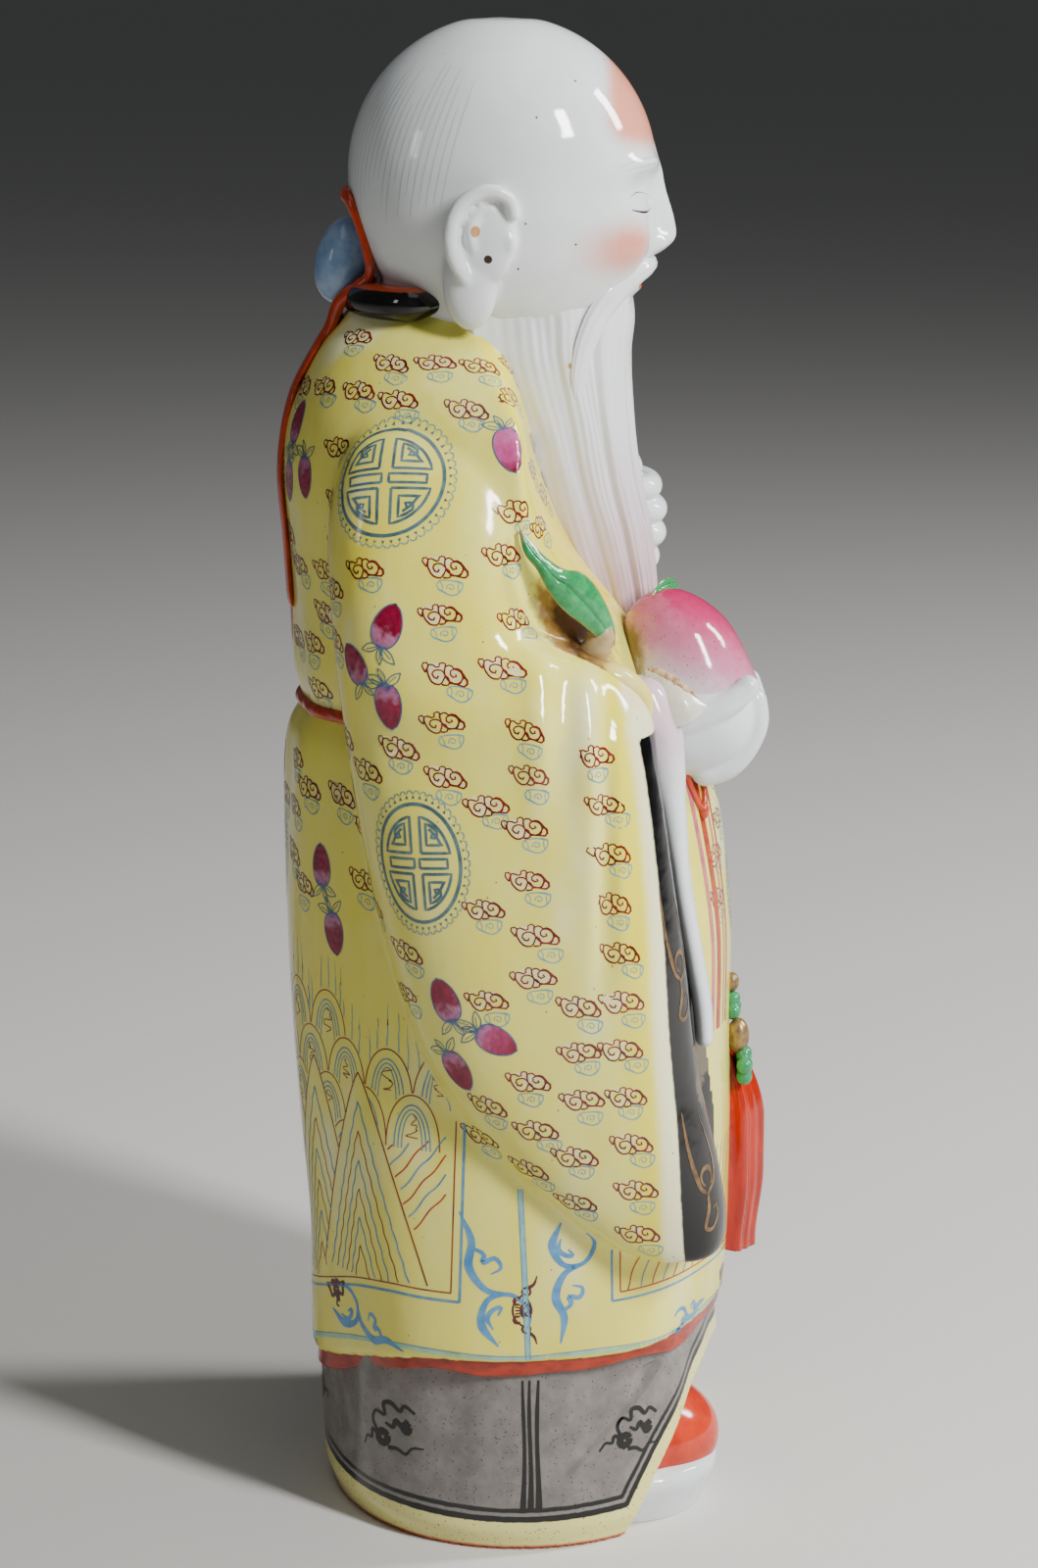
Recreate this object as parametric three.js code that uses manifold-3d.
// Porcelain figure of a standing bearded elder who holds a peach, one casting on a flat foot.
// Millimetres, +Z up. The figure faces -Y, and its right hand is on the -X side.
// Every form is a cylinder or a sphere that a function shapes, and all of them are joined into one.
import * as THREE from 'three';
import { mergeVertices } from 'three/addons/utils/BufferGeometryUtils.js';
import Module from 'manifold-3d';

const wasm = await Module();
wasm.setup();

// Driving sizes
const HEIGHT = 500;
const FOOT_HALF_WIDTH = 82;
const FOOT_HALF_DEPTH = 68.5;
const SKIRT_TOP = 84;
const ARCH_HEIGHT = 51;
const ARCH_HALF_WIDTH = 70;
const HEM_SIDE = 68;
const HEM_BACK_DROP = 18;
const LINING_DROP = 5;
const NECK_TOP = 408;
const BELT_HEIGHT = 276;
const BELT_THICKNESS = 4.6;
const SLEEVE_BOTTOM = 104;
const BEARD_TIP = 296;
const BEARD_TOP = 424;

// The origin lies under the middle of the depth from the pendant to the robe's back
const SETBACK = 2.1;

// Facets smaller than this are merged after the join
const SIMPLIFIED_TO = 0.7;

// Head: an egg about this centre, with a high round crown and a longer lower half
const HEAD = { y: 5.5, z: 450, halfWidth: 44, halfDepth: 50.5, crown: HEIGHT - 450, jaw: 58 };

// Robe profile: height, reach to the back, reach to the front, half width
const ROBE = [
  [40, 71, 68, 84], [66, 72, 70, 85.5], [95, 72.5, 72.5, 85], [130, 75.5, 73, 83], [165, 78, 72.5, 79.5],
  [206, 79.5, 72, 75.5], [248, 79, 66, 71], [266, 77.6, 59, 68.5], [276, 74.8, 53, 66.5], [290, 75.4, 46, 67],
  [310, 75.8, 33, 69], [331, 77, 18, 72], [354, 78.6, 8, 73], [370, 76.8, 4, 69], [382, 72, 1, 60],
  [394, 65.5, -2, 45], [402, 59, -9, 34], [410, 53, -16, 27],
];

// The widest line of the shoulders lies this much further back at their top
const SHOULDER_SETBACK = 15;

// Hanging sleeve: height, rear edge (Y), front edge (Y), outermost reach (X)
const SLEEVE = [
  [104, -37, -67.5, 88], [108, -26, -68.4, 90.5], [119, -10, -68.2, 93], [137, 9.5, -65, 95.5],
  [164, 29, -58.8, 97.5], [197, 40.5, -54.8, 98.5], [230, 48.5, -50, 97.5], [262, 54, -45.5, 95],
  [284, 57, -41.5, 92.5], [297, 58.5, -31, 90.5], [309, 59.5, -8, 88.5], [324, 60.5, -4, 86], [345, 60.5, -4, 81],
  [366, 55, -2, 70], [384, 42, 2, 48],
];

// Beard: height, forward reach (-Y), rear edge (-Y), half width
const BEARD = [
  [296, 45, 30, 9], [306, 46.5, 26, 17], [331, 44, 15, 25], [350, 40, 8, 29], [369, 37.5, 3, 32.5],
  [391, 36.5, -5, 36.5], [402, 37.5, -7, 35.5], [413, 37, -8, 34.5], [424, 34, -6, 31],
];

// Value of one column of a profile at height z, on a smooth curve through its stations
function along(stations, column, z) {
  const last = stations.length - 1;
  if (z <= stations[0][0]) return stations[0][column];
  if (z >= stations[last][0]) return stations[last][column];
  let i = 0;
  while (z > stations[i + 1][0]) i += 1;
  const slope = (k) => {
    const lower = stations[Math.max(k - 1, 0)];
    const upper = stations[Math.min(k + 1, last)];
    return (upper[column] - lower[column]) / (upper[0] - lower[0]);
  };
  const span = stations[i + 1][0] - stations[i][0];
  const s = (z - stations[i][0]) / span;
  const start = (1 + 2 * s) * (1 - s) ** 2 * stations[i][column] + s * (1 - s) ** 2 * span * slope(i);
  const end = s * s * (3 - 2 * s) * stations[i + 1][column] + s * s * (s - 1) * span * slope(i + 1);
  return start + end;
}

const smooth = (low, high, value) => THREE.MathUtils.smoothstep(value, low, high);
const bump = (value, centre, width) => Math.exp(-(((value - centre) / width) ** 2));
const power = (value, exponent) => Math.sign(value) * Math.abs(value) ** exponent;

// Turns a closed geometry into a solid
function solid(geometry) {
  geometry.deleteAttribute('normal');
  geometry.deleteAttribute('uv');
  const merged = mergeVertices(geometry, 1e-4);
  return new wasm.Manifold(new wasm.Mesh({
    numProp: 3,
    vertProperties: new Float32Array(merged.attributes.position.array),
    triVerts: new Uint32Array(merged.index.array),
  }));
}

// Moves every vertex of a geometry by a function from its old place to its new one
function shape(geometry, place) {
  const position = geometry.attributes.position;
  const point = new THREE.Vector3();
  for (let i = 0; i < position.count; i += 1) {
    point.fromBufferAttribute(position, i);
    const moved = place(point);
    position.setXYZ(i, moved.x, moved.y, moved.z);
  }
  return solid(geometry);
}

// A cylinder shaped by place(angle, t, radius): the angle is 0 at the front and a quarter turn at +X,
// t runs from 0 at the bottom to 1 at the top, and radius is 0 on the axis and 1 on the wall
function loft(around, rows, place) {
  const geometry = new THREE.CylinderGeometry(1, 1, 1, around, rows).rotateX(Math.PI / 2);
  return shape(geometry, (p) => place(Math.atan2(p.x, -p.y), p.z + 0.5, Math.min(1, Math.hypot(p.x, p.y))));
}

// A sphere shaped by place(direction)
function ball(around, rows, place) {
  return shape(new THREE.SphereGeometry(1, around, rows).rotateX(Math.PI / 2), place);
}

// An egg with its own half sizes, turned by Euler angles in degrees
function egg(centre, half, turn = [0, 0, 0], around = 16, rows = 10) {
  const rotation = new THREE.Euler(...turn.map(THREE.MathUtils.degToRad));
  return ball(around, rows, (d) => new THREE.Vector3(d.x * half[0], d.y * half[1], d.z * half[2])
    .applyEuler(rotation).add(new THREE.Vector3(...centre)));
}

// A round-ended limb along a smooth curve: wide and thick are its half sizes, from start to end,
// and flat is the direction that its thickness faces
function limb(points, wide, thick, flat = [0, 0, 1], around = 10, rows = 8) {
  const curve = new THREE.CatmullRomCurve3(points.map((p) => new THREE.Vector3(...p)));
  const length = curve.getLength();
  return ball(around, rows, (d) => {
    const t = (d.z + 1) / 2;
    const tangent = curve.getTangentAt(t);
    const side = new THREE.Vector3(...flat).cross(tangent).normalize();
    const up = tangent.clone().cross(side);
    const radius = THREE.MathUtils.lerp(wide[0], wide[1], t);
    const cap = Math.min(0.5, radius / length);
    const fromEnd = Math.min(1, Math.min(t, 1 - t) / cap);
    const round = Math.sqrt(Math.max(0, 1 - (1 - fromEnd) ** 2));
    const angle = Math.atan2(d.y, d.x);
    return curve.getPointAt(t)
      .addScaledVector(side, -radius * round * Math.cos(angle))
      .addScaledVector(up, -THREE.MathUtils.lerp(thick[0], thick[1], t) * round * Math.sin(angle));
  });
}

// Height of the robe's lower edge, which dips at the back
const hemHeight = (angle) => HEM_SIDE - HEM_BACK_DROP * Math.max(0, (-Math.cos(angle) - 0.3) / 0.7) ** 1.6;

// Height of the skirt's lower edge, which arches over the shoes
function skirtEdge(angle) {
  const sideways = Math.abs(Math.sin(angle)) * FOOT_HALF_WIDTH;
  return Math.cos(angle) < 0 ? 0 : ARCH_HEIGHT * Math.max(0, 1 - (sideways / ARCH_HALF_WIDTH) ** 3.2) ** 0.9;
}

// Soft folds of the robe, as a reach beyond its plain form
function robeFolds(angle, z) {
  const back = smooth(0.1, 0.9, -Math.cos(angle));
  const lower = 1 - smooth(120, 255, z);
  const gathers = 1.1 * Math.cos(9 * angle) * back * lower;
  const waist = -1.8 * bump(z, BELT_HEIGHT, 6) + 0.8 * Math.cos(14 * angle) * bump(z, BELT_HEIGHT - 22, 26) * back;
  const hem = 1.2 * Math.cos(7 * angle + 0.6) * (1 - smooth(55, 110, z));
  return gathers + waist + hem;
}

function robe() {
  return loft(40, 14, (angle, t, radius) => {
    const edge = hemHeight(angle) - LINING_DROP;
    const z = THREE.MathUtils.lerp(edge, NECK_TOP, t);
    if (radius < 0.5) return new THREE.Vector3(0, 20 * t, z);
    const setback = SHOULDER_SETBACK * smooth(368, 404, z);
    const reach = Math.cos(angle) < 0 ? along(ROBE, 1, z) - setback : along(ROBE, 2, z) + setback;
    const lining = t < 0.01 ? -2 : 0;
    const fold = robeFolds(angle, z) + lining;
    const x = (along(ROBE, 3, z) + fold) * power(Math.sin(angle), 0.92);
    return new THREE.Vector3(x, setback - (reach + fold) * power(Math.cos(angle), 0.92), z);
  });
}

function skirt() {
  return loft(40, 3, (angle, t, radius) => {
    if (radius < 0.5) return new THREE.Vector3(0, 10, t < 0.5 ? 0 : SKIRT_TOP);
    const z = THREE.MathUtils.lerp(skirtEdge(angle), SKIRT_TOP, t);
    const foot = 1 - 0.035 * (1 - smooth(0, 9, z)) - 0.05 * smooth(45, 84, z);
    const fold = 1 + 0.012 * Math.cos(8 * angle) * smooth(5, 30, z);
    const x = FOOT_HALF_WIDTH * foot * fold * power(Math.sin(angle), 0.95);
    return new THREE.Vector3(x, -FOOT_HALF_DEPTH * foot * fold * power(Math.cos(angle), 0.95), z);
  });
}

// Thick white sole with a rounded top, and the red upper on it
function shoe(side) {
  const sole = loft(14, 3, (angle, t, radius) => {
    const level = Math.round(t * 3);
    const swell = [0.8, 0.92, 1, 0.78][level];
    return new THREE.Vector3(
      side * 33 + radius * swell * 31 * Math.sin(angle),
      -32 - radius * swell * 35 * Math.cos(angle),
      [0, 7, 15, 21][level],
    );
  });
  return sole.add(egg([side * 31, -36, 21], [26, 33, 20], [0, 0, 0], 12, 6));
}

// The big hanging sleeve with the upper arm in it: side is -1 for the right arm, 1 for the left.
// The loft's section runs round from the mouth at the front, over the outside, to the rear edge
function sleeve(side) {
  return loft(26, 12, (angle, t, radius) => {
    const z = THREE.MathUtils.lerp(SLEEVE_BOTTOM, 384, t);
    const rear = along(SLEEVE, 1, z);
    const front = along(SLEEVE, 2, z);
    const outer = along(SLEEVE, 3, z);
    const middle = (rear + front) / 2;
    const half = (rear - front) / 2;
    const inner = 30;
    const centre = (outer + inner) / 2;
    const folds = 1.6 * Math.cos((z + 0.5 * half * Math.cos(angle)) / 9) * bump(z, 285, 22)
      + 1.5 * Math.cos(7 * angle) * bump(z, 225, 60) * smooth(0, 0.8, Math.cos(angle));
    const x = centre + (outer - centre + folds) * power(Math.sin(angle * side), 0.8) * radius;
    return new THREE.Vector3(side * x, middle - half * power(Math.cos(angle), 0.8) * radius, z);
  });
}

// Forearms: the right one carries the peach at the waist, the left one is raised to the chest
function rightForearm() {
  const arm = limb([[-66, 10, 281], [-69, -16, 280], [-56, -38, 277]], [21, 17], [21, 15], [0, 0, 1], 12, 7);
  const crookFold = limb([[-80, 6, 303], [-78, -6, 300], [-70, -16, 296]], [6, 5], [5, 5], [0, 0, 1], 8, 5);
  const cuffFlap = limb([[-70, -25, 294], [-66, -34, 290], [-62, -43, 282]], [6, 4], [5, 4], [0, 0, 1], 8, 5);
  return arm.add(crookFold).add(cuffFlap);
}

function leftForearm() {
  return limb([[76, 12, 280], [70, -12, 294], [46, -30, 312]], [23, 16], [24, 17], [0, 0, 1], 12, 7);
}

// White undersleeve strips that hang from the wrists inside the sleeve mouths
function cuff(side, top) {
  return limb(
    [[side * 50, -44, top], [side * 54, -52, 240], [side * 57, -57, 205], [side * 58, -57, 176]],
    [8, 10], [7, 8], [1, 0, 0], 8, 7,
  );
}

// Outward relief of the face over the plain egg: cheeks, eye sockets, brow and chin
function faceRelief(x, z) {
  const cheeks = 3.4 * bump(Math.abs(x), 22, 11) * bump(z, 428, 12);
  const sockets = -3.2 * bump(Math.abs(x), 17, 9) * bump(z, 442, 6.5);
  const brow = 1.4 * bump(Math.abs(x), 15, 15) * bump(z, 454, 5);
  const chin = 3.4 * bump(x, 0, 12) * bump(z, 402, 8);
  return cheeks + sockets + brow + chin;
}

// Smooth egg-shaped skull whose columns crowd towards the face, with nose, lips, lids and brows
function head() {
  const skull = ball(36, 20, (d) => {
    const around = Math.atan2(d.x, -d.y);
    const crowded = around - 0.42 * Math.sin(around);
    const height = d.z - 0.16 * Math.sin(Math.PI * d.z) * (d.z < 0 ? 0.4 : 1);
    const level = Math.sqrt(Math.max(0, 1 - height * height));
    const full = (exponent) => (height > 0 ? level : (1 - Math.abs(height) ** exponent) ** (1 / exponent));
    const front = Math.cos(crowded) > 0;
    const z = HEAD.z + height * (height > 0 ? HEAD.crown : HEAD.jaw);
    const x = HEAD.halfWidth * full(2.8) * Math.sin(crowded);
    const relief = front ? faceRelief(x, z) * Math.cos(crowded) : 0;
    const y = HEAD.y - HEAD.halfDepth * full(front ? 2.6 : 2) * Math.cos(crowded);
    return new THREE.Vector3(x, y - relief, z);
  });
  const features = [
    egg([0, -43, 429], [6.2, 9, 6], [20, 0, 0], 8, 6),
    limb([[0, -40, 449], [0, -45, 438], [0, -50, 429]], [3.6, 4.2], [3, 4], [1, 0, 0], 6, 5),
    egg([0, -40.5, 415], [10, 5, 3.6], [0, 0, 0], 10, 4),
  ];
  for (const side of [-1, 1]) {
    features.push(limb([[side * 6, -42.5, 453], [side * 17, -40, 456], [side * 29, -32, 451]],
      [3, 2.2], [2.8, 2], [0, 0, 1], 6, 5));
    features.push(egg([side * 17, -35.5, 441.5], [9, 5, 4.2], [0, 0, side * -22], 8, 5));
  }
  return features.reduce((whole, part) => whole.add(part), skull);
}

function ear(side) {
  const rim = egg([side * 43, 12, 431], [4.6, 12.5, 17.5], [0, 0, side * 12], 12, 7);
  const hollow = egg([side * 47.5, 10.5, 433], [3, 7, 10.5], [0, 0, side * 12], 8, 5);
  const lobe = egg([side * 40.5, 15.5, 417], [5.4, 9, 15], [0, 0, side * 8], 8, 6);
  return rim.subtract(hollow).add(lobe);
}

// The beard lies on the chest, swells forward and narrows to its tip behind the peach
function beard() {
  return loft(22, 8, (angle, t, radius) => {
    const z = THREE.MathUtils.lerp(BEARD_TIP, BEARD_TOP, t);
    const front = -along(BEARD, 1, z);
    const rear = -along(BEARD, 2, z);
    const strand = 0.7 * Math.cos(12 * angle) * smooth(-0.2, 0.4, Math.cos(angle));
    const wide = along(BEARD, 3, z) + strand;
    const depth = (rear - front) + strand;
    const y = rear + 6 - radius * (Math.cos(angle) > 0 ? depth + 6 : 14) * power(Math.cos(angle), 0.8);
    return new THREE.Vector3(radius * wide * power(Math.sin(angle), 0.85), y, z);
  });
}

// The strands of the moustache run down over the cheeks into the beard
function moustache(side) {
  return limb([[side * 3.5, -44.5, 420.5], [side * 16, -37.6, 417.5], [side * 24.5, -26, 406],
    [side * 29.8, -19.4, 388], [side * 28.6, -18.6, 376]], [2.6, 3.6], [2.4, 3], [0, 0, 1], 6, 8);
}

const PEACH = { x: -26, y: -57.5, z: 281, half: 22.5, top: 36, lean: 0.24 };

// Pointed peach that leans back towards the beard, with its groove down the far side
function peach() {
  return ball(18, 12, (d) => {
    const groove = 1 - 0.07 * bump(Math.atan2(d.x, -d.y), 0.5, 0.25) * smooth(-0.5, 0.3, d.z);
    const rise = d.z > 0 ? d.z * PEACH.top : d.z * PEACH.half;
    return new THREE.Vector3(
      PEACH.x + d.x * PEACH.half * groove,
      PEACH.y + d.y * PEACH.half * groove + PEACH.lean * Math.max(0, rise),
      PEACH.z + rise,
    );
  });
}

// A leaf blade: long, pointed at both ends, folded along its middle and bent
function leaf(points, wide, thick, flat) {
  const curve = new THREE.CatmullRomCurve3(points.map((p) => new THREE.Vector3(...p)));
  return ball(8, 9, (d) => {
    const t = (d.z + 1) / 2;
    const tangent = curve.getTangentAt(t);
    const side = new THREE.Vector3(...flat).cross(tangent).normalize();
    const up = tangent.clone().cross(side);
    const level = Math.hypot(d.x, d.y);
    const blade = wide * Math.sin(Math.PI * t ** 0.8) ** 0.9;
    const across = level > 1e-6 ? d.x / level : 0;
    const through = level > 1e-6 ? d.y / level : 0;
    const round = Math.min(1, level * 1.6);
    return curve.getPointAt(t)
      .addScaledVector(side, -across * blade * round)
      .addScaledVector(up, -through * thick * round + 0.22 * blade * across * across * round);
  });
}

function leaves() {
  const large = leaf([[-50, -37, 290], [-58, -30, 304], [-66, -23, 314], [-71, -16, 325], [-74, -8, 334], [-73, 0, 343]],
    7.5, 1.9, [1, 0.15, 0.25]);
  const small = leaf([[-28, -50, 309], [-18, -43, 314], [-12, -34, 315]], 6, 1.6, [0, 0, 1]);
  const stub = leaf([[-44, -40, 291], [-48.5, -49, 284.5], [-49, -58, 280]], 4.4, 2.2, [-1, -0.2, 0.3]);
  const stem = limb([[-42, -30, 292], [-48, -27, 297], [-54, -25, 303]], [3.6, 3], [3.4, 2.6], [0, 0, 1], 6, 5);
  return large.add(small).add(stub).add(stem);
}

// Right hand: a cupped palm under the peach, the thumb along its near side and fingers beyond
function rightHand() {
  let hand = egg([-30, -56, 275], [21, 23, 21], [-8, 0, 0], 12, 8);
  hand = hand.add(limb([[-50, -44, 282], [-51, -55, 279], [-46, -67, 281], [-40, -74.5, 285]],
    [6.4, 4.8], [6, 4.6], [0, 0, 1], 7, 6));
  for (let i = 0; i < 4; i += 1) {
    const x = -38 + 10.5 * i;
    hand = hand.add(limb([[x, -57, 257 + i], [x + 1, -69, 261 + i], [x + 2, -76, 273], [x + 3, -75.5, 285]],
      [5.4, 4.4], [5.2, 4.2], [1, 0, 0], 6, 5));
  }
  return hand.add(limb([[-58, -32, 281], [-46, -42, 280], [-38, -52, 279]], [13, 13], [12, 13], [0, 0, 1], 10, 5));
}

// Left hand: a closed fist, its four fingers stacked one above the other
function leftHand() {
  let hand = egg([36, -34, 331], [13, 12, 17], [0, 0, 20], 10, 6);
  for (let i = 0; i < 4; i += 1) {
    const z = 343 - 8.1 * i;
    const reach = [0, 1.6, 1.4, -0.6][i];
    hand = hand.add(limb([[44, -36, z + 1], [36, -43.5 - reach, z], [26, -44 - reach, z - 1], [20, -37, z - 1]],
      [4.5, 4.2], [4.6, 4.2], [0, 0, 1], 7, 5));
  }
  hand = hand.add(limb([[42, -30, 343], [33, -36, 350], [24, -38, 347]], [4.6, 4], [4.4, 3.8], [0, 0, 1], 6, 6));
  return hand.add(limb([[54, -22, 315], [46, -29, 320], [40, -33, 327]], [12, 12], [11, 12], [0, 0, 1], 8, 5));
}

// A ring round the body at one height, with a round section
function ring(height, centreY, halfWidth, halfDepth, section, around, dip = 0) {
  return loft(around, 4, (angle, t, radius) => {
    const turn = Math.PI * t;
    const outward = radius * Math.sin(turn) * section;
    const z = height - section * Math.cos(turn) + dip * Math.cos(angle) * radius;
    return new THREE.Vector3(
      radius * (halfWidth + outward) * Math.sin(angle),
      centreY - radius * (halfDepth + outward) * Math.cos(angle),
      z,
    );
  });
}

const collar = () => ring(407, 24, 31, 28, 5.5, 24, -5);
const belt = () => ring(BELT_HEIGHT, 10, 67.5, 66.5, BELT_THICKNESS / 2, 36);

// The wrapped hair knot behind the head, and the ribbon that ties it and hangs down the back
function ribbon() {
  const knot = egg([0, 57.5, 421], [11.5, 9, 14], [-6, 0, 0], 12, 8);
  let tie = limb([[0, 54.5, 443], [0, 49.5, 437], [0, 46, 426], [0, 47, 412], [0, 57, 404]],
    [9, 7], [3.4, 3.4], [0, 1, 0], 6, 7);
  for (const side of [-1, 1]) {
    tie = tie.add(limb(
      [[side * 3, 54, 405], [side * 5, 65.2, 393], [side * 7, 73.4, 377], [side * 8, 77.4, 354],
        [side * 9, 76.2, 330], [side * 10, 74.8, 300 - 8 * side]],
      [5, 6], [2.6, 2.2], [0, 1, 0], 6, 8,
    ));
  }
  return knot.add(tie);
}

// The red sash that hangs from the belt in front, with its pendant of a bead between two leaf knots
function sash() {
  const panel = loft(16, 6, (angle, t, radius) => {
    const z = THREE.MathUtils.lerp(80, 184, t);
    const front = 62 + 22 * (1 - smooth(130, 190, z)) - 3 * (1 - smooth(82, 110, z));
    const fold = 1.1 * Math.cos(6 * angle);
    return new THREE.Vector3(
      radius * (15 - 5 * t + fold) * power(Math.sin(angle), 0.7),
      -60 - radius * (front - 60) * power(Math.cos(angle), 0.8),
      z,
    );
  });
  const bead = egg([-9, -76.5, 156], [4.4, 4.4, 8], [0, 0, 0], 8, 6);
  const upper = egg([-9, -74, 168], [5, 3.6, 5.5], [0, 20, 0], 8, 5);
  const lower = egg([-9, -79.5, 146], [6.5, 3.6, 6.5], [0, 0, 0], 8, 5);
  return panel.add(bead).add(upper).add(lower);
}

// Upright soft folds down the robe's front, beside the lapel
function lapel() {
  return limb([[-20, -56, 262], [-18, -65.5, 238], [-10, -71, 206], [-4, -71.5, 184]],
    [4, 3], [2.6, 2.2], [0, 1, 0], 6, 6);
}

const parts = [
  robe(), skirt(), shoe(-1), shoe(1), sleeve(-1), sleeve(1), rightForearm(), leftForearm(),
  cuff(-1, 268), cuff(1, 300), head(), ear(-1), ear(1), beard(), moustache(-1), moustache(1),
  peach(), leaves(), rightHand(), leftHand(), collar(), belt(), ribbon(), sash(), lapel(),
];
const joined = parts.reduce((whole, part) => whole.add(part)).simplify(SIMPLIFIED_TO);

// Pockets closed in where forms overlap are solid: only the outer skin is kept
const casting = joined.decompose().reduce((best, part) => (part.volume() > best.volume() ? part : best));

const mesh = casting.translate([0, SETBACK, 0]).getMesh();
const geometry = new THREE.BufferGeometry();
geometry.setAttribute('position', new THREE.BufferAttribute(new Float32Array(mesh.vertProperties), 3));
geometry.setIndex(new THREE.BufferAttribute(new Uint32Array(mesh.triVerts), 1));

const porcelain = new THREE.MeshStandardMaterial({ color: 0xe6df95, roughness: 0.18, metalness: 0 });
const figure = new THREE.Mesh(geometry, porcelain);
figure.name = 'figure';

const group = new THREE.Group();
group.add(figure);
export default group;
